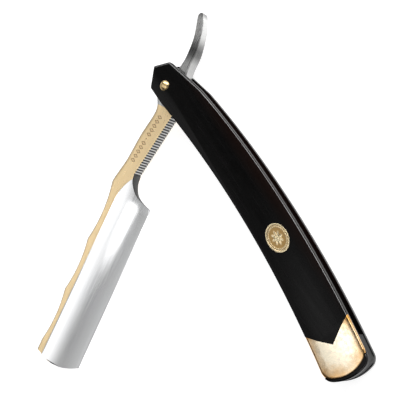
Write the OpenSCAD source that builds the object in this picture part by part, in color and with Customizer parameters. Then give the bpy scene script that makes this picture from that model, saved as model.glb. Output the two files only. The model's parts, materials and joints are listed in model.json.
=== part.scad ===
// Folding straight razor: a hollow-ground blade pinned between two curved scales.
// Origin on the pivot axis at the back scale's outer face, +X along the handle to its far end,
// +Y towards the handle's convex edge, +Z out of the front scale. Millimetres and degrees.

/* [Handle] */
// Distance from the pivot to the rounded end of the handle
handle_reach = 134.5; // [134:0.1:138]
// Thickness of each scale
scale_t = 2; // [1.8:0.1:2.6]
// Rounding of the outer edges of the scales
scale_round = 0.7; // [0.5:0.1:1.2]
// Radius of the long convex edge
convex_r = 455; // [430:5:480]
// Radius of the long concave edge
concave_r = 435; // [410:5:460]

/* [Blade] */
// Angle between the blade and the handle as stored
open_angle = 63.4; // [20:0.1:150]
// Thickness of the tang and of the spine
tang_t = 5; // [4.4:0.1:5]
// Distance from the pivot to the farthest point of the toe
blade_reach = 122.4; // [118:0.1:122.4]
// Distance of the cutting edge from the pivot line
edge_y = 15.9; // [15.3:0.1:16.2]
// Radius of the grinding wheel that hollows both sides
wheel_r = 70; // [66:1:90]
// Number of thumb grooves under the shank
groove_count = 25; // [10:1:26]

/* [Pivot] */
// Radius of the pivot pin
pin_r = 1.3; // [1:0.05:1.5]
// Radius of the domed collar at each end of the pin
collar_r = 2.05; // [1.9:0.05:2.4]
// Thickness of the bearing washers beside the tang
washer_t = 0.2; // [0.15:0.05:0.25]

/* [Trim] */
// Thickness of the metal bolster let into the front scale
bolster_t = 1.4; // [1:0.1:1.5]
// Length of the oval emblem
emblem_l = 11.6; // [9:0.1:12]
// Width of the oval emblem
emblem_w = 8.6; // [7:0.1:9]

/* [Hidden] */
$fn = 96;
arc_fn = 720;

// Heights through the handle
play = 0.05;
gap = tang_t + 2 * (washer_t + play);
front_z = scale_t + gap;
top_z = front_z + scale_t;
mid_z = scale_t + gap / 2;

// Handle outline: two long arcs, a round end with rounded corners and four straight cuts by the pivot
convex_c = [55.9, 13.2 - convex_r];
concave_c = [47.8, -3.2 - concave_r];
end_r = 16.2;
end_c = [handle_reach - end_r, 0.2];
convex_corner_r = 4;
concave_corner_r = 4.5;
nose = [-9.95, 0.75];
nose_convex = [-6.3, 7.3];
nose_concave = [-3.75, -5.45];
shoulder_convex = [12, 11];
shoulder_concave = [5, -5.29];
nose_bevel = 0.5;

// Wedge: fills the end between the scales, hollowed on the side that faces the toe
toe_room = 1.3;
wedge_inset = 0.3;

// Bolster: a swallowtail whose notch points at the end, and a round end inside the scale's own
notch = [[116, 9.3], [118.6, 4.3], [121.6, -1], [117.6, -4.9], [113.4, -8.3]];
bolster_r = 13.2;
bolster_c = [handle_reach - 1.3 - bolster_r, -1];

// Fasteners
wedge_pin_r = 0.9;
wedge_pin_at = [[128.4, -5], [128.8, 3]];
collar_h = 0.75;
collar_seat_r = collar_r + 0.3;
collar_seat_t = 0.3;
washer_r = 3.2;
emblem_at = [78.8, 3.8];
emblem_turn = -3;
emblem_t = 0.7;
emblem_seat_t = 0.4;
emblem_pin_r = 0.5;
emblem_pin_gap = 6;

// Blade outline in its own frame: +X to the toe, +Y to the cutting edge
spine_y = -4.8;
shank_x = 37.5;
spine_side = [[46.4, -5.1], [43.2, -5.3], [39.4, -4.6], [33.2, -3.25], [27.2, -2.65], [21, -2],
              [13, -0.5], [8.7, -0.6], [4.6, -2.9], [0.6, -4.3], [-3.2, -2.8], [-6, 0.2],
              [-8.8, 1.35], [-12.8, 2.1], [-17.2, 2.05], [-21.2, 1.55], [-25.1, 0.5], [-29, -0.9]];
tail_tip = [[-29, -0.9], [-30.7, -1.3], [-31.8, -0.7], [-32, 0.2], [-31.4, 1]];
edge_side = [[-31.4, 1], [-29, 2.5], [-25.2, 3.9], [-21.2, 4.9], [-15.4, 5.7], [-9.8, 5.7],
             [-5.8, 6.3], [-0.8, 7.6], [4.2, 8.3], [10.4, 7.9], [14.2, 7.234]];
heel = [[shank_x, 3.15], [40.6, 3.9], [44.3, 6.9], [46.1, 11.2], [47, edge_y - 0.9], [48.6, edge_y]];
toe = [[-4.8, edge_y], [-2.4, 12.2], [-0.7, 8.4], [-0.1, 4.8], [0, 3], [-0.5, 0.1],
       [-1.5, -2.4], [-2.1, spine_y]];
scallop_x = [57.8, 80.8, 103.8];
scallop_half = 11.5;
scallop_deep = 1.2;
scallop_r = (scallop_half * scallop_half / scallop_deep + scallop_deep) / 2;

// Hollow grind: the wheel meets the flat side along the hollow's top and leaves the edge thin
hollow_top = -0.7;
hollow_start = 50;
hollow_turn = -1;
edge_half_t = 0.09;
flat_half_t = tang_t / 2;
grind_rise = [edge_y - hollow_top, edge_half_t - flat_half_t];
grind_mid = [(edge_y + hollow_top) / 2, (edge_half_t + flat_half_t) / 2];
grind_far = sqrt(wheel_r * wheel_r - norm(grind_rise) * norm(grind_rise) / 4);
wheel_y = grind_mid[0] - grind_rise[1] / norm(grind_rise) * grind_far;
wheel_z = grind_mid[1] + grind_rise[0] / norm(grind_rise) * grind_far;
wheel_l = 90;

// Tail taper
taper_x = -16;
taper_l = 16;
taper_cut = 0.8;

// Thumb grooves, square to the flat sides
groove_r = 0.32;
groove_pitch = 1.12;
groove_end = 37;
groove_from = edge_side[9];
groove_slope = (heel[0][1] - groove_from[1]) / (shank_x - groove_from[0]);

hole_r = pin_r + 0.05;

// A point between p1 and p2 on the smooth curve that also passes p0 and p3
function blend_point(p0, p1, p2, p3, t) =
    0.5 * (2 * p1 + (p2 - p0) * t + (2 * p0 - 5 * p1 + 4 * p2 - p3) * t * t
           + (3 * p1 - p0 - 3 * p2 + p3) * t * t * t);
function smooth_path(p, n = 5) = [
    for (i = [0:len(p) - 2], k = [0:n - 1])
        blend_point(p[max(i - 1, 0)], p[i], p[i + 1], p[min(i + 2, len(p) - 1)], k / n)
];
// Where two circles meet, on the left (side = 1) or right (side = -1) going from the first to the second
function meet(c1, r1, c2, r2, side) =
    let (d = norm(c2 - c1), u = (c2 - c1) / d, along = (r1 * r1 - r2 * r2 + d * d) / (2 * d),
         off = side * sqrt(r1 * r1 - along * along))
    c1 + along * u + off * [-u[1], u[0]];
function oval(l, w, n = 64) = [for (i = [0:n - 1]) [l / 2 * cos(360 * i / n), w / 2 * sin(360 * i / n)]];

// A round disc whose rim is rounded over at the top
module domed_disc(r, t, rim) {
    rotate_extrude($fn = arc_fn) difference() {
        square([r, t]);
        translate([r - rim, t - rim]) difference() {
            square(rim + 1);
            circle(rim, $fn = 64);
        }
    }
}

// What is cut away beside a concave edge, so that the edge left is rounded over at the top
module flared_disc(r, t, rim) {
    rotate_extrude($fn = arc_fn) {
        translate([0, -1]) square([r, t + 2]);
        difference() {
            translate([r - 1, t - rim]) square([rim + 1, rim + 1]);
            translate([r + rim, t - rim]) circle(rim, $fn = 64);
        }
    }
}

// Cuts away all that lies left of the line from a to b, with a small bevel at the top edge
module nose_cut(a, b, t, bevel) {
    length = norm(b - a);
    translate([a[0], a[1], 0]) rotate([0, 0, atan2(b[1] - a[1], b[0] - a[0])]) {
        translate([-10, 0, -1]) cube([length + 20, 15, t + 2]);
        translate([-10, -bevel, t]) rotate([-45, 0, 0]) cube([length + 20, 15, 15]);
    }
}

// Cuts away what lies beyond the line from a to b, square to the faces
module shoulder_cut(a, b, t) {
    along = (b - a) / norm(b - a);
    translate([0, 0, -1]) linear_extrude(t + 2)
        polygon([a - 4 * along, b + 6 * along, b + [6, 9], a + [-6, 12.7]]);
}

// Cuts one corner of the end to a round one: edge_c and edge_r are the long edge's arc,
// and bulge is 1 on the convex side and -1 on the concave side
module corner_cut(edge_c, edge_r, corner_r, bulge, t) {
    at = meet(end_c, end_r - corner_r, edge_c, edge_r - bulge * corner_r, 1);
    to_end = (at - end_c) / norm(at - end_c);
    to_edge = bulge * (at - edge_c) / norm(at - edge_c);
    translate([at[0], at[1], 0]) difference() {
        translate([0, 0, -1]) linear_extrude(t + 2)
            polygon([[0, 0], to_end * 9, (to_end + to_edge) * 9, to_edge * 9]);
        translate([0, 0, -2]) cylinder(h = t + 4, r = corner_r);
    }
}

// The handle's shape with its flat inner face at z = 0 and its rounded outer face at the top
module handle_slab(t, rim, bevel) {
    difference() {
        intersection() {
            translate([convex_c[0], convex_c[1], 0]) domed_disc(convex_r, t, rim);
            union() {
                translate([end_c[0], end_c[1], 0]) domed_disc(end_r, t, rim);
                translate([-20, -30, 0]) cube([end_c[0] + 20, 60, t]);
            }
        }
        translate([concave_c[0], concave_c[1], 0]) flared_disc(concave_r, t, rim);
        corner_cut(convex_c, convex_r, convex_corner_r, 1, t);
        corner_cut(concave_c, concave_r, concave_corner_r, -1, t);
        nose_cut(nose, nose_convex, t, bevel);
        nose_cut(nose_concave, nose, t, bevel);
        shoulder_cut(nose_convex, shoulder_convex, t);
        nose_cut(shoulder_concave, nose_concave, t, bevel);
    }
}

// The bolster's outline: beyond the swallowtail line and short of the end
module bolster_area(h) {
    intersection() {
        linear_extrude(h) polygon(concat(notch, [[notch[4][0], -20], [150, -20], [150, 20], [notch[0][0], 20]]));
        union() {
            translate([bolster_c[0], bolster_c[1], 0]) cylinder(h = h, r = bolster_r, $fn = 180);
            translate([100, -20, 0]) cube([bolster_c[0] - 100, 40, h]);
        }
    }
}

module front_scale_shape() {
    translate([0, 0, front_z]) handle_slab(scale_t, scale_round, nose_bevel);
}

module front_scale() {
    color([0.09, 0.085, 0.08]) difference() {
        front_scale_shape();
        translate([0, 0, top_z - bolster_t]) bolster_area(bolster_t + 1);
        translate([0, 0, front_z - 1]) cylinder(h = scale_t + 2, r = pin_r);
        translate([emblem_at[0], emblem_at[1], top_z - emblem_seat_t]) rotate([0, 0, emblem_turn])
            linear_extrude(1) polygon(oval(emblem_l, emblem_w));
        emblem_pin_places() cylinder(h = scale_t + 2, r = emblem_pin_r);
        wedge_pin_places() cylinder(h = top_z, r = wedge_pin_r);
    }
}

module back_scale() {
    color([0.09, 0.085, 0.08]) difference() {
        translate([0, 0, scale_t]) mirror([0, 0, 1]) handle_slab(scale_t, scale_round, nose_bevel);
        translate([0, 0, -1]) cylinder(h = scale_t + 2, r = pin_r);
        translate([0, 0, -1]) cylinder(h = collar_seat_t + 1, r = collar_seat_r);
        wedge_pin_places() cylinder(h = scale_t + 2, r = wedge_pin_r);
    }
}

module wedge() {
    color([0.07, 0.065, 0.06]) difference() {
        intersection() {
            translate([convex_c[0], convex_c[1], scale_t])
                cylinder(h = gap, r = convex_r - wedge_inset, $fn = arc_fn);
            translate([end_c[0], end_c[1], scale_t]) cylinder(h = gap, r = end_r - wedge_inset, $fn = 180);
        }
        translate([concave_c[0], concave_c[1], 0])
            cylinder(h = top_z, r = concave_r + wedge_inset, $fn = arc_fn);
        corner_cut(convex_c, convex_r, convex_corner_r, 1, top_z);
        corner_cut(concave_c, concave_r, concave_corner_r, -1, top_z);
        cylinder(h = top_z, r = blade_reach + toe_room, $fn = arc_fn);
        wedge_pin_places() cylinder(h = top_z, r = wedge_pin_r);
    }
}

// A low dome with its flat face at z = 0
module dome_cap() {
    dome_r = (collar_r * collar_r + collar_h * collar_h) / (2 * collar_h);
    intersection() {
        translate([0, 0, collar_h - dome_r]) sphere(r = dome_r, $fn = 128);
        cylinder(h = collar_h, r = collar_r + 1);
    }
}

// The pin is peened over, so each end carries on the dome of its collar
module pivot_pin() {
    color([0.83, 0.66, 0.36]) {
        translate([0, 0, collar_seat_t]) cylinder(h = top_z - collar_seat_t, r = pin_r);
        translate([0, 0, top_z]) pin_end();
        translate([0, 0, collar_seat_t]) mirror([0, 0, 1]) pin_end();
    }
}

module pin_end() {
    intersection() {
        dome_cap();
        cylinder(h = collar_h, r = pin_r);
    }
}

module collar() {
    difference() {
        dome_cap();
        translate([0, 0, -1]) cylinder(h = collar_h + 2, r = pin_r);
    }
}

module front_collar() {
    color([0.83, 0.66, 0.36]) translate([0, 0, top_z]) collar();
}

module back_collar() {
    color([0.83, 0.66, 0.36]) translate([0, 0, collar_seat_t]) mirror([0, 0, 1]) collar();
}

module bearing_washer() {
    difference() {
        cylinder(h = washer_t, r = washer_r);
        translate([0, 0, -1]) cylinder(h = washer_t + 2, r = pin_r);
    }
}

module front_bearing_washer() {
    color([0.78, 0.6, 0.32]) translate([0, 0, front_z - washer_t]) bearing_washer();
}

module back_bearing_washer() {
    color([0.78, 0.6, 0.32]) translate([0, 0, scale_t]) bearing_washer();
}

module front_bolster() {
    color([0.9, 0.76, 0.48]) difference() {
        intersection() {
            front_scale_shape();
            translate([0, 0, top_z - bolster_t]) bolster_area(bolster_t + 1);
        }
        wedge_pin_places() cylinder(h = top_z - 0.4, r = wedge_pin_r);
    }
}

module wedge_pin_places() {
    for (at = wedge_pin_at) translate([at[0], at[1], 0]) children();
}

module wedge_pins() {
    color([0.83, 0.66, 0.36]) wedge_pin_places() cylinder(h = top_z - 0.4, r = wedge_pin_r);
}

module emblem_pin_places() {
    translate([emblem_at[0], emblem_at[1], front_z]) rotate([0, 0, emblem_turn])
        for (side = [-1, 1]) translate([side * emblem_pin_gap / 2, 0, 0]) children();
}

// A plain oval plate with a raised rim and a beaded ring
module emblem() {
    color([0.92, 0.78, 0.5])
        translate([emblem_at[0], emblem_at[1], top_z - emblem_seat_t]) rotate([0, 0, emblem_turn]) {
            difference() {
                linear_extrude(emblem_t) polygon(oval(emblem_l, emblem_w));
                translate([0, 0, emblem_t - 0.15]) linear_extrude(1) polygon(oval(emblem_l - 1.2, emblem_w - 1.2));
            }
        }
}

module emblem_pins() {
    color([0.83, 0.66, 0.36]) emblem_pin_places() cylinder(h = scale_t - emblem_seat_t, r = emblem_pin_r);
}

// The side view of the blade, tang and tail
module blade_outline() {
    difference() {
        polygon(concat(
            smooth_path(spine_side), smooth_path(tail_tip), smooth_path(edge_side), [edge_side[10]],
            smooth_path(heel), [heel[5]],
            [for (p = smooth_path(toe)) [blade_reach + p[0], p[1]]], [[blade_reach - 2.1, spine_y]]));
        for (x = scallop_x) translate([x, spine_y + scallop_deep - scallop_r]) circle(scallop_r, $fn = 360);
    }
}

// The grinding wheel with its crowned end, its axis along X
module wheel() {
    rotate([0, 90, 0]) rotate_extrude($fn = 360) {
        intersection() {
            circle(wheel_r, $fn = 360);
            translate([0, -wheel_r]) square([wheel_r, wheel_r + 0.01]);
        }
        square([wheel_r, wheel_l]);
    }
}

module blade_solid() {
    difference() {
        translate([0, 0, -flat_half_t]) linear_extrude(tang_t) blade_outline();
        for (side = [-1, 1]) translate([hollow_start, 0, 0]) rotate([0, 0, hollow_turn])
            translate([0, wheel_y, side * wheel_z]) wheel();
        for (side = [0, 1]) mirror([0, 0, side]) translate([taper_x, -20, flat_half_t])
            rotate([0, atan2(taper_cut, taper_l), 0]) translate([-40, 0, 0]) cube([40, 40, 5]);
        for (i = [0:groove_count - 1]) {
            x = groove_end - i * groove_pitch;
            translate([x, groove_from[1] + (x - groove_from[0]) * groove_slope, -flat_half_t - 1])
                cylinder(h = tang_t + 2, r = groove_r, $fn = 24);
        }
        translate([0, 0, -tang_t]) cylinder(h = 2 * tang_t, r = hole_r);
    }
}

module blade() {
    color([0.78, 0.79, 0.8]) translate([0, 0, mid_z]) rotate([0, 0, -open_angle]) blade_solid();
}

blade();
front_scale();
back_scale();
wedge();
pivot_pin();
front_collar();
back_collar();
front_bearing_washer();
back_bearing_washer();
front_bolster();
wedge_pins();
emblem();
emblem_pins();
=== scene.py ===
"""Looks of a folding straight razor: hollow-ground blade with a gold wash, black scales, gilt trim."""

import json
import math

import bmesh
import bpy
from mathutils import Matrix, Vector


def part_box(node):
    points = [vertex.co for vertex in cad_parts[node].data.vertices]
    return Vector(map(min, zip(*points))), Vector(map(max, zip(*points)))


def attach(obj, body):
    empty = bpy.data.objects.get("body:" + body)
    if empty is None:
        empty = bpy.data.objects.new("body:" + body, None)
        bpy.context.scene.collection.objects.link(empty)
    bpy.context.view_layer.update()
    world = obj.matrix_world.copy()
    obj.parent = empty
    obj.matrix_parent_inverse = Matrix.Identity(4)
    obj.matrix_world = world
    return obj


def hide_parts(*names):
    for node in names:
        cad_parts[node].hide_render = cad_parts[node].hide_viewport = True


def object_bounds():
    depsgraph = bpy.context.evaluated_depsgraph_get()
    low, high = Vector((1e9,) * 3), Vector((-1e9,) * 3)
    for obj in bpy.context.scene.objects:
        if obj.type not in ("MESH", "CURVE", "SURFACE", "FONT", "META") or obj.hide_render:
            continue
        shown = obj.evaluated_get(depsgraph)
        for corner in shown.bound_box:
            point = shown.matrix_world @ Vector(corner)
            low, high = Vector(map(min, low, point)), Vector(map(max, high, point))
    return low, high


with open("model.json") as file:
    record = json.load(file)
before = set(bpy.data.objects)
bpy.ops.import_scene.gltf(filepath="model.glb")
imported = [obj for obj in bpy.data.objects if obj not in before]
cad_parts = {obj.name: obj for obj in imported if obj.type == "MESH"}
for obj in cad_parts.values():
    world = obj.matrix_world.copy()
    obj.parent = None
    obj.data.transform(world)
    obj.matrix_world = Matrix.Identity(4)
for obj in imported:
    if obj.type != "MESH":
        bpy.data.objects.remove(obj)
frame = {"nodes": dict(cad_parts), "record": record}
cad_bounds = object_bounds()
scene = bpy.context.scene

MM = 0.001

# ---- Heights and places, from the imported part, in millimetres ----


def box_mm(node):
    low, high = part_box(node)
    return Vector(low) / MM, Vector(high) / MM


scale_low, scale_high = box_mm("front_scale")
emblem_low, emblem_high = box_mm("emblem")
FRONT_Z, TOP_Z = scale_low.z, scale_high.z
REACH = scale_high.x
SCALE_T = box_mm("back_scale")[1].z
COLLAR_R = box_mm("front_collar")[1].x
BACK_COLLAR_Z = box_mm("back_collar")[1].z
MID_Z = frame["record"]["behaviour"]["joints"][0]["pos_m"][2] / MM
OPEN_ANGLE = math.radians(63.4)

# ---- Handle outline, in the handle's frame ----
CONVEX_R, CONVEX_C = 455.0, Vector((55.9, 13.2 - 455.0))
CONCAVE_R, CONCAVE_C = 435.0, Vector((47.8, -3.2 - 435.0))
END_R = 16.2
END_C = Vector((REACH - END_R, 0.2))
CONVEX_CORNER_R = 4.0
CONCAVE_CORNER_R = 4.5
NOSE_ROUND, NOSE_CONVEX_ROUND, NOSE_CONCAVE_ROUND = 0.5, 0.9, 0.7
NOSE = Vector((-9.95, 0.75))
NOSE_CONVEX = Vector((-6.3, 7.3))
NOSE_CONCAVE = Vector((-3.75, -5.45))
SHOULDER_CONVEX = Vector((12, 11))
SHOULDER_CONCAVE = Vector((5, -5.29))
NOTCH = [(116, 9.3), (118.6, 4.3), (121.6, -1), (117.6, -4.9), (113.4, -8.3)]
BOLSTER_R = 13.2
BOLSTER_C = Vector((REACH - 1.3 - BOLSTER_R, -1))
BOLSTER_T = 1.4
BOLSTER_START = 100
WEDGE_PINS = ((128.4, -5), (128.8, 3))
WEDGE_PIN_R = 0.9
PIN_R = 1.3
DOME_H = 0.75
EMBLEM_HALF_L, EMBLEM_HALF_W = 5.8, 4.3
EMBLEM_TURN = math.radians(-3)
RELIEF = 0.15
FAR = 20

# ---- Blade, in its own frame: +X to the toe, +Y to the cutting edge ----
BLADE_REACH = 122.4
EDGE_Y = 15.9
SPINE_Y = -4.8
SHANK_X = 37.5
FLAT_H = 2.5
SPINE_PATH = [(-29, -0.9), (-25.1, 0.5), (-21.2, 1.55), (-17.2, 2.05), (-12.8, 2.1), (-8.8, 1.35),
              (-6, 0.2), (-3.2, -2.8), (0.6, -4.3), (4.6, -2.9), (8.7, -0.6), (13, -0.5), (21, -2),
              (27.2, -2.65), (33.2, -3.25), (39.4, -4.6), (43.2, -5.3), (46.4, -5.1)]
TAIL_LOW = [(-32, 0.2), (-31.8, -0.7), (-30.7, -1.3), (-29, -0.9)]
TAIL_HIGH = [(-32, 0.2), (-31.4, 1), (-29, 2.5)]
EDGE_PATH = [(-29, 2.5), (-25.2, 3.9), (-21.2, 4.9), (-15.4, 5.7), (-9.8, 5.7), (-5.8, 6.3),
             (-0.8, 7.6), (4.2, 8.3), (10.4, 7.9)]
HEEL = [(SHANK_X, 3.15), (40.6, 3.9), (44.3, 6.9), (46.1, 11.2), (47, EDGE_Y - 0.9), (48.6, EDGE_Y)]
TOE_HIGH = [(-4.8, EDGE_Y), (-2.4, 12.2), (-0.7, 8.4), (-0.1, 4.8), (0, 3)]
TOE_LOW = [(-2.1, SPINE_Y), (-1.5, -2.4), (-0.5, 0.1), (0, 3)]
SCALLOP_X = (57.8, 80.8, 103.8)
SCALLOP_HALF = 11.5
SCALLOP_DEEP = 1.2
SCALLOP_BLEND = 43.5
WHEEL_R = 70.0
HOLLOW_TOP = -0.7
HOLLOW_START = 50.0
HOLLOW_TURN = math.radians(1)
EDGE_HALF_T = 0.09
TAPER_X, TAPER_L, TAPER_CUT = -16.0, 16.0, 0.8
GROOVE_R, GROOVE_PITCH, GROOVE_END, GROOVES = 0.32, 1.12, 37.0, 25
GROOVE_START = GROOVE_END - (GROOVES - 1) * GROOVE_PITCH
TOE_BEVEL, TOE_SLOPE = 0.5, 0.36
SATIN_END = 7.5
GOLD_END = SHANK_X + 1.5


# ---- Curves ----


def smooth_path(points, steps=6):
    """Catmull-Rom curve through the points, both ends included."""
    curve = []
    for i in range(len(points) - 1):
        p0, p1 = points[max(i - 1, 0)], points[i]
        p2, p3 = points[i + 1], points[min(i + 2, len(points) - 1)]
        for k in range(steps):
            t = k / steps
            curve.append(tuple(
                0.5 * (2 * b + (c - a) * t + (2 * a - 5 * b + 4 * c - d) * t * t
                       + (3 * b - a - 3 * c + d) * t ** 3)
                for a, b, c, d in zip(p0, p1, p2, p3)))
    return curve + [tuple(points[-1])]


def height_on(curve, x):
    """y of a curve at x; the curve's x never falls."""
    for (x0, y0), (x1, y1) in zip(curve, curve[1:]):
        if x <= x1:
            return y0 if x1 == x0 else y0 + (y1 - y0) * max(0.0, (x - x0) / (x1 - x0))
    return curve[-1][1]


def arc_points(centre, radius, start, end, count):
    """Points on an arc between two angles in radians."""
    return [centre + radius * Vector((math.cos(a), math.sin(a)))
            for a in (start + (end - start) * k / count for k in range(count + 1))]


def angle_of(point, centre):
    """Direction of the point seen from the centre, in radians."""
    return math.atan2(point.y - centre.y, point.x - centre.x)


def meet(c1, r1, c2, r2):
    """Where two circles meet, on the left going from the first to the second."""
    d = (c2 - c1).length
    along = (r1 * r1 - r2 * r2 + d * d) / (2 * d)
    u = (c2 - c1) / d
    return c1 + along * u + math.sqrt(r1 * r1 - along * along) * Vector((-u.y, u.x))


def fillet(before, corner, after, radius, count=5):
    """A corner rounded with a small parabola that starts and ends at radius from it."""
    a = corner + (before - corner).normalized() * radius
    b = corner + (after - corner).normalized() * radius
    return [a * (1 - t) ** 2 + corner * 2 * t * (1 - t) + b * t * t
            for t in (k / count for k in range(count + 1))]


def round_end(centre, radius, concave_r, start, finish, counts):
    """Anticlockwise from start on the concave arc, round an end with two rounded corners, to finish.

    counts are the steps on the long arcs, the corners and the end.
    """
    long, corner, end = counts
    convex = meet(centre, radius - CONVEX_CORNER_R, CONVEX_C, CONVEX_R - CONVEX_CORNER_R)
    concave = meet(centre, radius - concave_r, CONCAVE_C, CONCAVE_R + concave_r)
    turn_in, turn_out = angle_of(concave, centre), angle_of(convex, centre)
    leave = angle_of(convex, CONVEX_C)
    points = arc_points(CONCAVE_C, CONCAVE_R, angle_of(start, CONCAVE_C), angle_of(concave, CONCAVE_C), long)
    points += arc_points(concave, concave_r, angle_of(CONCAVE_C, concave), turn_in, corner)[1:]
    points += arc_points(centre, radius, turn_in, turn_out, end)[1:]
    points += arc_points(convex, CONVEX_CORNER_R, turn_out, leave, corner)[1:]
    points += arc_points(CONVEX_C, CONVEX_R, leave, angle_of(finish, CONVEX_C), long)[1:]
    return points


def handle_outline():
    """The handle's outline, anticlockwise from the concave shoulder."""
    points = round_end(END_C, END_R, CONCAVE_CORNER_R, SHOULDER_CONCAVE, SHOULDER_CONVEX, (90, 16, 40))
    points += fillet(SHOULDER_CONVEX, NOSE_CONVEX, NOSE, NOSE_CONVEX_ROUND)
    points += fillet(NOSE_CONVEX, NOSE, NOSE_CONCAVE, NOSE_ROUND)
    points += fillet(NOSE, NOSE_CONCAVE, SHOULDER_CONCAVE, NOSE_CONCAVE_ROUND)
    return points


def bolster_outline():
    """The handle's long edges from BOLSTER_START on, closed by the bolster's own round end."""
    def edge(centre, radius):
        return Vector((BOLSTER_START, centre.y + math.sqrt(radius ** 2 - (BOLSTER_START - centre.x) ** 2)))

    bottom, top = edge(CONCAVE_C, CONCAVE_R), edge(CONVEX_C, CONVEX_R)
    return round_end(BOLSTER_C, BOLSTER_R, CONVEX_CORNER_R, bottom, top, (24, 14, 30))


def rim_width(p):
    """The rim is broader round the nose and along the convex edge beside it."""
    return 1 + 0.85 * min(1.0, max(0.0, (24 - p.x) / 20)) if p.y > 0.5 else 1.0


def inset(points, distance):
    """The closed outline moved inwards by distance."""
    moved = []
    for i, p in enumerate(points):
        a, b = points[i - 1], points[(i + 1) % len(points)]
        t0, t1 = (p - a).normalized(), (b - p).normalized()
        n0, n1 = Vector((-t0.y, t0.x)), Vector((-t1.y, t1.x))
        n = (n0 + n1).normalized()
        moved.append(p + n * distance * rim_width(p) / max(0.5, n.dot(n0)))
    return moved


# ---- Mesh helpers ----


def add_loops(bm, loops, closed=True, caps=True):
    """Joins rings of 3-D points in millimetres with quads; closed rings wrap round, caps close the ends."""
    rings = [[bm.verts.new(Vector(p) * MM) for p in loop] for loop in loops]
    count = len(rings[0])
    for low, high in zip(rings, rings[1:]):
        for i in range(count if closed else count - 1):
            j = (i + 1) % count
            bm.faces.new((low[i], low[j], high[j], high[i]))
    if caps:
        bm.faces.new(list(reversed(rings[0])))
        bm.faces.new(rings[-1])
    return rings


SHARP_ANGLE = 35


def shade(mesh, angle=SHARP_ANGLE):
    """Smooth shading that breaks at edges sharper than the angle in degrees."""
    mesh.shade_smooth()
    mesh.set_sharp_from_angle(angle=math.radians(angle))


def finish_mesh(bm, name, angle=SHARP_ANGLE):
    """Turns the bmesh into a clean mesh with its normals outwards."""
    bmesh.ops.remove_doubles(bm, verts=bm.verts, dist=2e-6)
    bmesh.ops.dissolve_degenerate(bm, edges=bm.edges, dist=1e-6)
    bmesh.ops.recalc_face_normals(bm, faces=bm.faces)
    mesh = bpy.data.meshes.new(name)
    bm.to_mesh(mesh)
    bm.free()
    shade(mesh, angle)
    return mesh


def add_object(mesh, name, *materials):
    obj = bpy.data.objects.new(name, mesh)
    scene.collection.objects.link(obj)
    for material in materials:
        mesh.materials.append(material)
    return obj


def add_piece(mesh, name, body, nodes, slot, *materials):
    """A visible piece that rides on a body and stands for CAD nodes; slot is not used."""
    obj = add_object(mesh, name, *materials)
    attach(obj, body)
    if nodes:
        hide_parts(*nodes)
    return obj


def boolean(obj, tool, operation):
    """Applies a boolean with the tool object, and removes the tool."""
    modifier = obj.modifiers.new("cut", "BOOLEAN")
    modifier.operation = operation
    modifier.solver = "MANIFOLD"
    modifier.object = tool
    bpy.context.view_layer.update()
    result = bpy.data.meshes.new_from_object(obj.evaluated_get(bpy.context.evaluated_depsgraph_get()))
    obj.modifiers.clear()
    old, tool_mesh = obj.data, tool.data
    obj.data = result
    result.name = old.name
    bpy.data.objects.remove(tool)
    for mesh in (old, tool_mesh):
        bpy.data.meshes.remove(mesh)
    shade(result)


def prism(outline, low, high):
    """An upright tool object for a boolean."""
    bm = bmesh.new()
    add_loops(bm, [[(p[0], p[1], z) for p in outline] for z in (low, high)])
    return add_object(finish_mesh(bm, "tool"), "tool")


def lathe(profile, name, segments=64):
    """A mesh turned from (radius, height) points about the pivot's axis."""
    bm = bmesh.new()
    turn = [2 * math.pi * k / segments for k in range(segments)]
    add_loops(bm, [[(r * math.cos(a), r * math.sin(a), z) for a in turn] for r, z in profile], caps=False)
    return finish_mesh(bm, name, 40)


# ---- Shader helpers ----


def fill(tree, socket, value):
    """Links another socket to this one, or sets its constant."""
    if isinstance(value, bpy.types.NodeSocket):
        tree.links.new(value, socket)
    else:
        socket.default_value = value


def map_range(tree, value, start, end, low, high):
    """A node that takes start..end to low..high."""
    node = tree.nodes.new("ShaderNodeMapRange")
    fill(tree, node.inputs["Value"], value)
    for socket, number in (("From Min", start), ("From Max", end), ("To Min", low), ("To Max", high)):
        node.inputs[socket].default_value = number
    return node


def grey_ramp(tree, value, stops, blue=1.0):
    """Grey levels between (place, level) stops."""
    node = tree.nodes.new("ShaderNodeValToRGB")
    fill(tree, node.inputs["Fac"], value)
    elements = node.color_ramp.elements
    while len(elements) < len(stops):
        elements.new(0.5)
    for element, (place, level) in zip(elements, stops):
        element.position = place
        element.color = (level, level, level * blue, 1)
    return node.outputs["Color"]


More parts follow.
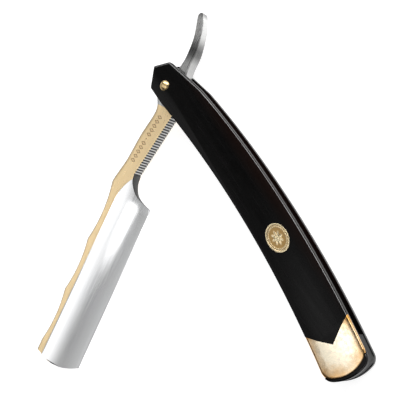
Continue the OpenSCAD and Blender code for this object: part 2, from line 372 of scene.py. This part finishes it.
class Shader:
    """A Principled material and short ways to add its nodes."""

    def __init__(self, name, colour, metallic=0.0, roughness=0.5, **sockets):
        self.material = bpy.data.materials.new(name)
        self.material.use_nodes = True
        self.tree = self.material.node_tree
        self.bsdf = self.tree.nodes["Principled BSDF"]
        self.set("Base Color", (*colour, 1))
        self.set("Metallic", metallic)
        self.set("Roughness", roughness)
        for socket, value in sockets.items():
            self.set(socket.replace("_", " "), value)

    def set(self, socket, value):
        self.bsdf.inputs[socket].default_value = value

    def node(self, kind, **inputs):
        node = self.tree.nodes.new(kind)
        for socket, value in inputs.items():
            self.join(value, node.inputs[socket.replace("_", " ")])
        return node

    def join(self, value, socket):
        fill(self.tree, socket, value)

    def place(self, scale=(1, 1, 1), turn=0.0):
        """Object coordinates in metres, turned about Z and then scaled."""
        coordinates = self.node("ShaderNodeTexCoord").outputs["Object"]
        turned = self.node("ShaderNodeMapping", Vector=coordinates, Rotation=(0, 0, turn))
        return self.node("ShaderNodeMapping", Vector=turned.outputs["Vector"], Scale=scale).outputs["Vector"]

    def axis(self, name, turn=0.0):
        """One of the coordinates, in metres."""
        return self.node("ShaderNodeSeparateXYZ", Vector=self.place(turn=turn)).outputs[name]

    def noise(self, vector, scale, detail=4.0, roughness=0.5):
        return self.node("ShaderNodeTexNoise", Vector=vector, Scale=scale, Detail=detail,
                         Roughness=roughness).outputs["Fac"]

    def spread(self, value, low, high, start=0.35, end=0.65):
        """Takes start..end to low..high; noise stays mostly between the default start and end."""
        return map_range(self.tree, value, start, end, low, high).outputs["Result"]

    def mix(self, factor, first, second, blend="MIX"):
        node = self.tree.nodes.new("ShaderNodeMix")
        node.data_type = "RGBA"
        node.blend_type = blend
        self.join(factor, node.inputs["Factor"])
        self.join(first if isinstance(first, bpy.types.NodeSocket) else (*first, 1), node.inputs["A"])
        self.join(second if isinstance(second, bpy.types.NodeSocket) else (*second, 1), node.inputs["B"])
        return node.outputs["Result"]

    def bump(self, height, strength, distance):
        node = self.node("ShaderNodeBump", Height=height, Strength=strength, Distance=distance)
        self.join(node.outputs["Normal"], self.bsdf.inputs["Normal"])

    def drive(self, socket, value):
        self.join(value, self.bsdf.inputs[socket])


# ---- Materials ----


def polished_steel():
    """Mirror polish with the faintest lengthwise grain."""
    s = Shader("polished_steel", (0.86, 0.87, 0.88), 1.0, 0.1)
    grain = s.noise(s.place((60, 1800, 1800), OPEN_ANGLE), 1.0, 3.0)
    s.drive("Roughness", s.spread(grain, 0.07, 0.14))
    cloud = s.noise(s.place(), 60.0, 2.0)
    s.drive("Base Color", s.mix(cloud, (0.84, 0.85, 0.87), (0.9, 0.9, 0.9)))
    s.bump(grain, 0.02, 0.000002)
    return s.material


def satin_steel():
    """Fine lengthwise satin, with painted reflection and shade: light and dark bands along the tail, darkest
    where it bends.
    """
    s = Shader("satin_steel", (0.5, 0.5, 0.5), 1.0, 0.3)
    grain = s.noise(s.place((150, 3500, 3500), OPEN_ANGLE), 1.0, 4.0)
    s.drive("Roughness", s.spread(grain, 0.24, 0.36))
    # Painted reflection and shade: grey levels along the tail stand in for its bright and dark reflections.
    stops = ((0.0, 0.25), (0.05, 0.95), (0.22, 0.8), (0.31, 0.3), (0.36, 0.16), (0.42, 0.2), (0.5, 0.55),
             (0.75, 0.7), (1.0, 0.6))
    along = s.spread(s.axis("X", OPEN_ANGLE), 0.0, 1.0, TAIL_LOW[0][0] * MM, 0.008)
    painted_tail_bands = grey_ramp(s.tree, along, stops, 0.99)
    cloud = s.mix(s.noise(s.place(), 180.0, 5.0), (0.75, 0.75, 0.75), (1.0, 1.0, 1.0))
    s.drive("Base Color", s.mix(1.0, painted_tail_bands, cloud, "MULTIPLY"))
    s.bump(grain, 0.15, 0.00002)
    return s.material


def painted_shade_steel():
    """Painted shade: near-black steel in the grooves and the undercut below the heel, standing in for their
    shade and dark reflections.
    """
    s = Shader("painted_shade_steel", (0.06, 0.06, 0.06), 1.0, 0.4)
    speck = s.noise(s.place(), 1500.0, 4.0)
    s.drive("Base Color", s.mix(speck, (0.03, 0.03, 0.03), (0.12, 0.12, 0.12)))
    s.drive("Roughness", s.spread(speck, 0.32, 0.5))
    return s.material


def gold_wash():
    """A thin gold finish over a brushed face."""
    s = Shader("gold_wash", (0.95, 0.74, 0.42), 0.95, 0.32)
    grain = s.noise(s.place((250, 4000, 4000), OPEN_ANGLE), 1.0, 4.0)
    s.drive("Roughness", s.spread(grain, 0.27, 0.37))
    s.drive("Base Color", s.mix(s.noise(s.place(), 900.0, 6.0, 0.7), (0.94, 0.7, 0.38), (1.0, 0.8, 0.5)))
    s.bump(grain, 0.15, 0.00002)
    return s.material


def etched_gold():
    """Dull brown gold of the shank's etched row."""
    s = Shader("etched_gold", (0.4, 0.24, 0.12), 0.7, 0.5)
    speck = s.noise(s.place(), 1800.0, 5.0)
    s.drive("Base Color", s.mix(speck, (0.3, 0.17, 0.08), (0.5, 0.31, 0.17)))
    s.drive("Roughness", s.spread(speck, 0.5, 0.7))
    return s.material


def black_scale():
    """Polished black horn: a satin face with faint lengthwise streaks and a painted warm highlight by the
    convex edge.
    """
    s = Shader("black_scale", (0.006, 0.006, 0.006), 0.0, 0.3, Specular_IOR_Level=0.12)
    streak = s.noise(s.place((40, 700, 700)), 1.0, 6.0, 0.6)
    mottle = s.noise(s.place(), 260.0, 4.0)
    s.drive("Roughness", s.spread(streak, 0.2, 0.28))
    dark = s.mix(mottle, (0.0015, 0.0015, 0.0015), (0.005, 0.0048, 0.0048))
    # Painted highlight: a faint brownish sheen towards the convex edge.
    painted_warm_sheen = s.spread(s.axis("Y"), 0.0, 0.75, 0.0075, 0.0115)
    s.drive("Base Color", s.mix(painted_warm_sheen, dark, (0.012, 0.005, 0.0035)))
    s.bump(mottle, 0.08, 0.0001)
    return s.material


def painted_arris_highlight():
    """The horn's convex arris with a painted highlight: greyer and shinier than the face."""
    s = Shader("painted_arris_highlight", (0.04, 0.038, 0.038), 0.0, 0.25, Specular_IOR_Level=1.0)
    highlight_noise = s.noise(s.place((60, 300, 300)), 1.0, 5.0, 0.6)
    # Painted highlight: the arris band's base colour is greyer than the horn's, for the bright line along
    # the edge.
    s.drive("Base Color", s.mix(highlight_noise, (0.015, 0.014, 0.014), (0.07, 0.068, 0.068)))
    s.drive("Roughness", s.spread(highlight_noise, 0.2, 0.34))
    return s.material


def wedge_black():
    """The wedge's dull black, sanded lengthwise."""
    s = Shader("wedge_black", (0.006, 0.006, 0.006), 0.0, 0.5, Specular_IOR_Level=0.2)
    s.drive("Roughness", s.spread(s.noise(s.place((60, 900, 900)), 1.0), 0.4, 0.6))
    return s.material


def bolster_metal():
    """Gilt plate with painted light: a pale, bright painted highlight in the middle, shading to amber
    towards its edges.
    """
    s = Shader("bolster_gilt", (1.0, 0.88, 0.66), 1.0, 0.2)
    centre, half_size = (0.1225, -0.0008, 0), (0.0125, 0.0105, 1000)
    oval = s.node("ShaderNodeMapping", Vector=s.place(), Location=centre, Scale=half_size)
    oval.vector_type = "TEXTURE"
    length = s.tree.nodes.new("ShaderNodeVectorMath")
    length.operation = "LENGTH"
    s.join(oval.outputs["Vector"], length.inputs[0])
    # Painted highlight and shade: distance from the oval's middle, mottled by noise, takes the colour from
    # pale to amber.
    painted_falloff = s.tree.nodes.new("ShaderNodeMath")
    painted_falloff.operation = "MULTIPLY_ADD"
    terms = (s.noise(s.place(), 260.0, 5.0, 0.65), 0.5, length.outputs["Value"])
    for socket, term in zip(painted_falloff.inputs, terms):
        s.join(term, socket)
    worn = s.spread(painted_falloff.outputs["Value"], 0.0, 1.0, 0.74, 1.28)
    s.drive("Base Color", s.mix(worn, (1.0, 0.9, 0.7), (0.74, 0.38, 0.09)))
    s.drive("Roughness", s.spread(s.noise(s.place(), 900.0, 4.0), 0.16, 0.26))
    s.bump(s.noise(s.place(), 500.0, 3.0), 0.05, 0.00005)
    return s.material


def emblem_metal():
    """Gilt relief: bright on the raised work, brown in the recesses."""
    s = Shader("emblem_gilt", (1.0, 0.84, 0.56), 1.0, 0.3)
    cloud = s.noise(s.place(), 900.0, 4.0)
    gold = s.mix(cloud, (0.92, 0.72, 0.4), (1.0, 0.88, 0.62))
    face = (emblem_high.z - RELIEF) * MM
    raised = s.spread(s.axis("Z"), 0.0, 1.0, face, face + 0.00008)
    s.drive("Base Color", s.mix(raised, (0.52, 0.33, 0.13), gold))
    s.drive("Roughness", s.spread(raised, 0.5, 0.24, 0.0, 1.0))
    return s.material


def brass(name, pale, deep, low, high):
    """Brass clouded between two colours, with its roughness between low and high."""
    s = Shader(name, pale, 1.0, low)
    cloud = s.noise(s.place(), 350.0, 4.0)
    s.drive("Base Color", s.mix(cloud, deep, pale))
    s.drive("Roughness", s.spread(s.noise(s.place(), 1500.0, 3.0), low, high))
    return s.material


# ---- Blade ----


def scallop(x, centre):
    """y of a spine scallop's arc at x."""
    radius = (SCALLOP_HALF ** 2 / SCALLOP_DEEP + SCALLOP_DEEP) / 2
    return SPINE_Y + SCALLOP_DEEP - radius + math.sqrt(radius ** 2 - (x - centre) ** 2)


def at_toe(points):
    """A smooth path whose x counts from the blade's far end."""
    return [(BLADE_REACH + x, y) for x, y in smooth_path(points)]


SPINE_CURVE = smooth_path(TAIL_LOW)[:-1] + smooth_path(SPINE_PATH)
TOE_LOW_CURVE = at_toe(TOE_LOW)
EDGE_CURVE = smooth_path(TAIL_HIGH)[:-1] + smooth_path(EDGE_PATH) + smooth_path(HEEL) + at_toe(TOE_HIGH)


def spine_y(x):
    """The spine side's y at x."""
    if x < SPINE_PATH[-1][0]:
        y = height_on(SPINE_CURVE, x)
        return max(y, scallop(x, SCALLOP_X[0])) if x > SCALLOP_BLEND else y
    y = SPINE_Y
    for centre in SCALLOP_X:
        if abs(x - centre) < SCALLOP_HALF:
            y = scallop(x, centre)
    return height_on(TOE_LOW_CURVE, x) if x > TOE_LOW_CURVE[0][0] else y


def groove_depth(x):
    """How far a thumb groove cuts in at x."""
    if not GROOVE_START - GROOVE_R <= x <= GROOVE_END + GROOVE_R:
        return 0.0
    off = (x - GROOVE_START + GROOVE_PITCH / 2) % GROOVE_PITCH - GROOVE_PITCH / 2
    return math.sqrt(GROOVE_R ** 2 - off ** 2) if abs(off) < GROOVE_R else 0.0


def edge_y(x):
    """The edge side's y at x, thumb grooves included."""
    return height_on(EDGE_CURVE, x) - groove_depth(x)


def wheel_place():
    """Centre (y, z) of the grinding wheel."""
    rise = Vector((EDGE_Y - HOLLOW_TOP, EDGE_HALF_T - FLAT_H))
    middle = Vector(((EDGE_Y + HOLLOW_TOP) / 2, (EDGE_HALF_T + FLAT_H) / 2))
    far = math.sqrt(WHEEL_R ** 2 - rise.length_squared / 4)
    return middle.x - rise.y / rise.length * far, middle.y + rise.x / rise.length * far


WHEEL_Y, WHEEL_Z = wheel_place()


def half_t(x, y):
    """Half of the blade's thickness at a place."""
    half = FLAT_H - max(0.0, TAPER_X - x) * TAPER_CUT / TAPER_L
    c, s = math.cos(HOLLOW_TURN), math.sin(HOLLOW_TURN)
    qx, qy = c * (x - HOLLOW_START) - s * y, s * (x - HOLLOW_START) + c * y
    square = WHEEL_R ** 2 - min(qx, 0.0) ** 2 - (qy - WHEEL_Y) ** 2
    return min(half, WHEEL_Z - math.sqrt(square)) if square > 0 else half


def crease_y(x):
    """Where the hollow leaves the flat at x, or the edge side where there is no hollow."""
    qx = x - HOLLOW_START
    square = WHEEL_R ** 2 - min(qx, 0.0) ** 2 - (WHEEL_Z - FLAT_H) ** 2
    if square <= 0:
        return edge_y(x)
    y = (WHEEL_Y - math.sqrt(square) - math.sin(HOLLOW_TURN) * qx) / math.cos(HOLLOW_TURN)
    return min(max(y, spine_y(x)), edge_y(x))


def stations():
    """Places along the blade, close together at the tips, grooves and heel."""
    tail_end, tail_wide = TAIL_LOW[0][0], TAIL_LOW[-1][0]
    xs = [tail_end + (tail_wide - tail_end) * (k / 12) ** 2 for k in range(12)]
    xs += [tail_wide + 0.8 * k for k in range(48)]
    half_groove = (0, 0.14, 0.23, 0.29, 0.319, 0.33)
    offsets = (-GROOVE_PITCH / 2, *(-o for o in half_groove[1:]), *half_groove)
    xs += [GROOVE_START + g * GROOVE_PITCH + o for g in range(GROOVES) for o in offsets]
    xs += [37.6 + 0.2 * k for k in range(70)]
    xs += [51.7 + 0.7 * k for k in range(94)]
    xs += [BLADE_REACH - 5 * (1 - k / 40) ** 2.4 for k in range(41)]
    return sorted(x for x in set(round(x, 4) for x in xs) if x <= BLADE_REACH)


RIM = 0.22
RIM_STEPS = 2
FLAT_STEPS = 4
HOLLOW_STEPS = 26


def section(x):
    """One closed ring round the blade at x, front side from the spine to the edge and back."""
    low, high = spine_y(x), edge_y(x)
    worn = TOE_SLOPE * max(0.0, x - BLADE_REACH + TOE_BEVEL)

    def thick(y):
        return max(0.04, half_t(x, y) - worn)

    h_low, h_high = thick(low), thick(high - 1e-4)
    room = max(0.0, high - low)
    spine_rim = min(RIM, room * 0.2, h_low * 0.4)
    edge_rim = min(RIM, room * 0.2, h_high * 0.5)
    start, end = low + spine_rim, high - edge_rim
    crease = min(max(crease_y(x), start), end)
    front = [(low, h_low - spine_rim), (low + 0.3 * spine_rim, h_low - 0.3 * spine_rim), (start, h_low)]
    front += [(start + (crease - start) * k / FLAT_STEPS, h_low) for k in range(1, FLAT_STEPS)]
    hollow = [crease + (end - crease) * k / HOLLOW_STEPS for k in range(HOLLOW_STEPS + 1)]
    front += [(y, thick(y)) for y in hollow]
    front += [(high - 0.3 * edge_rim, h_high - 0.3 * edge_rim), (high, h_high - edge_rim)]
    back = [(y, -z) for y, z in reversed(front)]
    return [(x, y, z) for y, z in front + back]


def to_frame(point):
    """From the blade's own frame to the model's, in millimetres."""
    c, s = math.cos(-OPEN_ANGLE), math.sin(-OPEN_ANGLE)
    x, y, z = point
    return (c * x - s * y, s * x + c * y, MID_Z + z)


POLISHED, SATIN, GOLD, SHADE_PAINTED = range(4)


def blade_finish(x, i, half):
    """The finish of strip i at x, in a ring whose front and back have half of its points each."""
    from_spine = i if i < half else 2 * half - 2 - i
    edge_side = from_spine >= half - 1 - RIM_STEPS
    if x < SATIN_END:
        return SATIN
    if from_spine >= RIM_STEPS and not edge_side:
        return GOLD if from_spine < RIM_STEPS + FLAT_STEPS or x < GOLD_END else POLISHED
    if edge_side and x < HEEL[-1][0]:
        # The grooves and the undercut below the heel take the painted shade.
        return SHADE_PAINTED if groove_depth(x) > 0 or x > GROOVE_END + 0.3 else SATIN
    return POLISHED


def make_blade(*finishes):
    """The whole blade, from the tail to the toe, in one skin. finishes follow POLISHED to SHADE_PAINTED."""
    bm = bmesh.new()
    xs = stations()
    rings = add_loops(bm, [[to_frame(p) for p in section(x)] for x in xs])
    count = len(rings[0])
    half = count // 2
    bm.faces.ensure_lookup_table()
    for r in range(len(rings) - 1):
        x = (xs[r] + xs[r + 1]) / 2
        for i in range(count):
            bm.faces[r * count + i].material_index = blade_finish(x, i, half)
    mesh = finish_mesh(bm, "blade_steel", 28)
    add_piece(mesh, "blade_steel", "blade", ["blade"], "blade_steel", *finishes)


def make_etching(material):
    """A row of small open lozenges and dots along the shank, on the front only."""
    start, along = Vector((12.2, 2.75)), Vector((20.6, -3.3)).normalized()
    pitch, count, middle = 2.03, 11, 5
    half_w, half_h, stroke = 0.8, 1.25, 0.34
    heights = (FLAT_H - 0.02, FLAT_H + 0.012)
    across = Vector((-along.y, along.x))
    bm = bmesh.new()

    def tile(centre, points):
        outline = [centre + along * u + across * v for u, v in points]
        add_loops(bm, [[to_frame((*p, z)) for p in outline] for z in heights])

    def dot(centre, radius, sides):
        turn = [2 * math.pi * i / sides for i in range(sides)]
        tile(centre, [(radius * math.cos(a), radius * math.sin(a)) for a in turn])

    for k in range(count):
        centre = start + along * pitch * k
        if k == middle:
            dot(centre, 0.28, 8)
            continue
        for side, rise in ((1, 1), (-1, 1), (-1, -1), (1, -1)):
            corners = [(side * half_w, 0), (0, rise * half_h), (0, rise * (half_h - 1.3 * stroke)),
                       (side * (half_w - stroke), 0)]
            tile(centre, corners if side * rise > 0 else corners[::-1])
        dot(centre, 0.14, 6)
    add_piece(finish_mesh(bm, "shank_etching"), "shank_etching", "blade", [], "blade_steel", material)


# ---- Handle ----


def slab_rings(outline, profile, flip, base):
    """Rings of the outline at each (inset, height); flip turns the slab over."""
    side = -1 if flip else 1
    return [[(p.x, p.y, base + side * height) for p in inset(outline, distance)]
            for distance, height in profile]


ARRIS_BAND = 5


def rim_profile(height):
    """(inset, height) up the edge: a small round, then the gently sloping arris, step ARRIS_BAND."""
    return [(0, 0), (0, height - 0.42), (0.02, height - 0.33), (0.07, height - 0.25), (0.14, height - 0.195),
            (0.2, height - 0.16), (0.4, height - 0.05), (0.47, height - 0.02), (0.56, height)]


def bolster_tool():
    """The pocket for the bolster: right of the notch, across the whole handle, out to the round end."""
    points = [*NOTCH, (NOTCH[-1][0], -FAR), (BOLSTER_C.x, -FAR)]
    points += [tuple(p) for p in arc_points(BOLSTER_C, BOLSTER_R, -math.pi / 2, math.pi / 2, 48)]
    return points + [(BOLSTER_C.x, FAR), (NOTCH[0][0], FAR)]


def make_scale(front, horn, worn):
    """One handle side, with its rim outwards, its convex arris with a painted highlight and its pocket or
    pin holes.
    """
    node = "front_scale" if front else "back_scale"
    outline = handle_outline()
    base = FRONT_Z if front else SCALE_T
    bm = bmesh.new()
    add_loops(bm, slab_rings(outline, rim_profile(SCALE_T), not front, base))
    bm.faces.ensure_lookup_table()
    # The convex arris band takes the second material, its painted highlight.
    for i, p in enumerate(outline):
        if p.y > 0.5:
            bm.faces[ARRIS_BAND * len(outline) + i].material_index = 1
    name = node + "_horn"
    # worn is the material with the painted arris highlight.
    obj = add_piece(finish_mesh(bm, name), name, "handle", [node], "black_scale", horn, worn)
    if front:
        boolean(obj, prism(bolster_tool(), TOP_Z - BOLSTER_T, TOP_Z + 2), "DIFFERENCE")
        return
    for centre in WEDGE_PINS:
        round_hole = arc_points(Vector(centre), WEDGE_PIN_R, 0, 2 * math.pi, 40)[:-1]
        boolean(obj, prism(round_hole, -1, SCALE_T + 1), "DIFFERENCE")


def make_bolster(material):
    """The inlaid metal end, very slightly crowned towards its long edges and round end."""
    t = SCALE_T
    profile = [(0.03, t - BOLSTER_T - 0.1), (-0.02, t - 0.85), (0.02, t - 0.6), (0.12, t - 0.42),
               (0.32, t - 0.27), (0.65, t - 0.17), (1.1, t - 0.1), (1.7, t - 0.05), (2.5, t - 0.01),
               (3.3, t + 0.015)]
    bm = bmesh.new()
    add_loops(bm, slab_rings(bolster_outline(), profile, False, FRONT_Z))
    mesh = finish_mesh(bm, "bolster_plate", 50)
    obj = add_piece(mesh, "bolster_plate", "handle", ["front_bolster"], "bolster_brass", material)
    right_of_notch = [*NOTCH, (NOTCH[-1][0], -FAR), (REACH + FAR, -FAR), (REACH + FAR, FAR),
                      (NOTCH[0][0], FAR)]
    boolean(obj, prism(right_of_notch, TOP_Z - BOLSTER_T, TOP_Z + 2), "INTERSECT")


def dome(r0, r1, base, side, steps=10):
    """(radius, height) points between two radii on the low dome over the pivot."""
    radius = (COLLAR_R ** 2 + DOME_H ** 2) / (2 * DOME_H)
    return [(r, base + side * (DOME_H - radius + math.sqrt(radius ** 2 - r ** 2)))
            for r in (r0 + (r1 - r0) * k / steps for k in range(steps + 1))]


def make_pivot(material):
    """The peened pin and its two collars; together they make one dome on each side."""
    def add_turned(node, profile):
        name = node + "_brass"
        add_piece(lathe(profile, name), name, "handle", [node], "pin_brass", material)

    front_end = dome(0.001, PIN_R, TOP_Z, 1)
    back_end = dome(0.001, PIN_R, BACK_COLLAR_Z, -1)
    add_turned("pivot_pin", front_end + [(PIN_R, BACK_COLLAR_Z)] + back_end[::-1])
    for node, base, side in (("front_collar", TOP_Z, 1), ("back_collar", BACK_COLLAR_Z, -1)):
        add_turned(node, [(PIN_R, base), *dome(PIN_R, COLLAR_R, base, side), (PIN_R, base)])


def emblem_height(r, a):
    """Relief at relative radius r and angle a: a raised rim, a ring of beads and a rosette."""
    if r > 0.86:
        return RELIEF * min(1.0, (r - 0.86) / 0.03) * min(1.0, (1.0 - r) / 0.02 + 0.3)
    if 0.7 < r < 0.84:
        return 0.11 * math.sin((r - 0.7) / 0.14 * math.pi) * abs(math.sin(14 * a))
    petal_end = 0.18 + 0.38 * abs(math.cos(4 * a)) ** 0.7
    petal = 0.1 * max(0.0, 1 - (r / petal_end) ** 4) * min(1.0, r / 0.1)
    return max(petal, 0.12 * max(0.0, 1 - (r / 0.12) ** 2))


def make_emblem(material):
    """A plain oval plate with a raised rim, a ring of beads and a small rosette."""
    centre = (emblem_low + emblem_high) / 2
    c, s = math.cos(EMBLEM_TURN), math.sin(EMBLEM_TURN)
    low, face = emblem_low.z, emblem_high.z - RELIEF
    bm = bmesh.new()

    def ring(r, z_of):
        """A ring of the oval at relative radius r; z_of takes the angle."""
        points = []
        for k in range(224):
            a = 2 * math.pi * k / 224
            x, y = EMBLEM_HALF_L * r * math.cos(a), EMBLEM_HALF_W * r * math.sin(a)
            points.append((centre.x + x * c - y * s, centre.y + x * s + y * c, z_of(a)))
        return points

    rings = [ring(0.01, lambda a: low), ring(1.0, lambda a: low), ring(1.0, lambda a: face)]
    radii = [1 - 0.0125 * k for k in range(80)]
    rings += [ring(r, lambda a, r=r: face + emblem_height(r, a)) for r in radii]
    add_loops(bm, rings)
    mesh = finish_mesh(bm, "emblem_oval", 60)
    add_piece(mesh, "emblem_oval", "handle", ["emblem"], "emblem_gilt", material)


# ---- Studio ----


def make_floor():
    """A broad pale floor just under the lowest point."""
    s = Shader("pale_floor", (0.5, 0.5, 0.5), 0.0, 0.8, Specular_IOR_Level=0.1)
    s.drive("Base Color", s.mix(s.noise(s.place(), 3.0), (0.48, 0.48, 0.48), (0.52, 0.52, 0.52)))
    s.set("Emission Color", (1, 1, 1, 1))
    s.set("Emission Strength", 0.86)
    z = cad_bounds[0][2] / MM - 0.2
    half_size, count = 3000, 8
    marks = [half_size * (2 * k / count - 1) for k in range(count + 1)]
    bm = bmesh.new()
    add_loops(bm, [[(x, y, z) for x in marks] for y in marks], closed=False, caps=False)
    add_object(finish_mesh(bm, "floor"), "floor", s.material)


def make_world():
    """Soft studio light: a broad overhead softbox and grey cards, laid out on the ceiling.

    A direction is named by where it meets a ceiling one unit up: across the blade and along it.
    """
    world = bpy.data.worlds.new("studio")
    scene.world = world
    world.use_nodes = True
    tree = world.node_tree
    direction = tree.nodes.new("ShaderNodeTexCoord").outputs["Generated"]

    def dot(axis):
        node = tree.nodes.new("ShaderNodeVectorMath")
        node.operation = "DOT_PRODUCT"
        fill(tree, node.inputs[0], direction)
        node.inputs[1].default_value = axis
        return node.outputs["Value"]

    def combine(operation, first, second):
        node = tree.nodes.new("ShaderNodeMath")
        node.operation = operation
        fill(tree, node.inputs[0], first)
        fill(tree, node.inputs[1], second)
        return node.outputs["Value"]

    def product(first, *others):
        for other in others:
            first = combine("MULTIPLY", first, other)
        return first

    def step(value, start, end, low=0.0, high=1.0):
        node = map_range(tree, value, start, end, low, high)
        node.interpolation_type = "SMOOTHSTEP"
        return node.outputs["Result"]

    def levels(value, stops):
        """Half levels between stops at -1 to 1, because a ramp runs from 0 to 1 both ways."""
        place = product(combine("ADD", value, 1.0), 0.5)
        return grey_ramp(tree, place, [((at + 1) / 2, level / 2) for at, level in stops])

    up = combine("MAXIMUM", dot((0, 0, 1)), 0.02)
    across = combine("DIVIDE", dot((0.894, 0.447, 0)), up)
    along = combine("DIVIDE", dot((-0.447, 0.894, 0)), up)
    cards = levels(across, ((-0.99, 1.1), (-0.78, 1.6), (-0.66, 1.6), (-0.6, 0.68), (-0.54, 0.54),
                            (-0.45, 0.47), (-0.37, 0.4), (-0.32, 0.36), (-0.27, 0.52), (-0.21, 0.85),
                            (-0.15, 1.3), (0.12, 1.4), (0.22, 1.2), (0.32, 0.35), (0.99, 0.15)))
    dark = product(step(across, -0.64, -0.58), step(across, -0.37, -0.42), step(along, -0.165, -0.125), 0.93)
    lamp = product(step(across, -0.38, -0.34), step(across, -0.2, -0.28), step(along, -0.25, -0.17), 1.1)
    strip = product(step(along, 0.55, 0.7), step(along, 1.4, 1.1),
                    step(across, -1.9, -1.6), step(across, 0.6, 0.3), 2.6)
    light = combine("ADD", product(cards, combine("SUBTRACT", 1.0, dark)), lamp)
    light = product(light, step(along, 0.01, -0.045, 0.1, 1.0), step(along, -0.7, -0.48, 0.05, 1.0),
                    step(across, -1.7, -1.1, 0.12, 1.0))
    light = combine("ADD", light, strip)
    light = combine("MAXIMUM", light, step(dot((0, 0, 1)), 0.22, 0.1, 0.0, 0.55))
    background = tree.nodes["Background"]
    background.inputs["Color"].default_value = (1, 1, 1, 1)
    fill(tree, background.inputs["Strength"], product(light, 2.0))


def make_camera():
    """The camera stands above and beyond the handle's convex side."""
    place = Vector((0.1850, 0.0993, 0.3186))
    target = Vector((0.0475, -0.0134, 0.0095))
    up = Vector((-0.7765, 0.6185, 0.1199))
    data = bpy.data.cameras.new("camera")
    data.lens = 84.6
    data.sensor_width = 36
    camera = bpy.data.objects.new("camera", data)
    scene.collection.objects.link(camera)
    forward = (target - place).normalized()
    right = forward.cross(up).normalized()
    turn = Matrix((right, right.cross(forward), -forward)).transposed().to_4x4()
    camera.matrix_world = Matrix.Translation(place) @ turn
    scene.camera = camera


# ---- Everything together ----


def dress(node, material):
    """Gives a CAD node that stays in view its own finish."""
    obj = frame["nodes"][node]
    obj.data.materials.clear()
    obj.data.materials.append(material)


black, arris = black_scale(), painted_arris_highlight()
pin_brass = brass("pin_brass", (0.98, 0.76, 0.42), (0.88, 0.6, 0.26), 0.24, 0.32)
washer_brass = brass("washer_brass", (0.8, 0.62, 0.34), (0.62, 0.44, 0.2), 0.3, 0.42)

make_blade(polished_steel(), satin_steel(), gold_wash(), painted_shade_steel())
make_etching(etched_gold())
make_scale(True, black, arris)
make_scale(False, black, arris)
make_bolster(bolster_metal())
make_pivot(pin_brass)
make_emblem(emblem_metal())
dress("wedge", wedge_black())
for node in ("front_bearing_washer", "back_bearing_washer"):
    dress(node, washer_brass)
for node in ("wedge_pins", "emblem_pins"):
    dress(node, pin_brass)
make_floor()
make_world()
make_camera()
scene.view_settings.view_transform = "Standard"
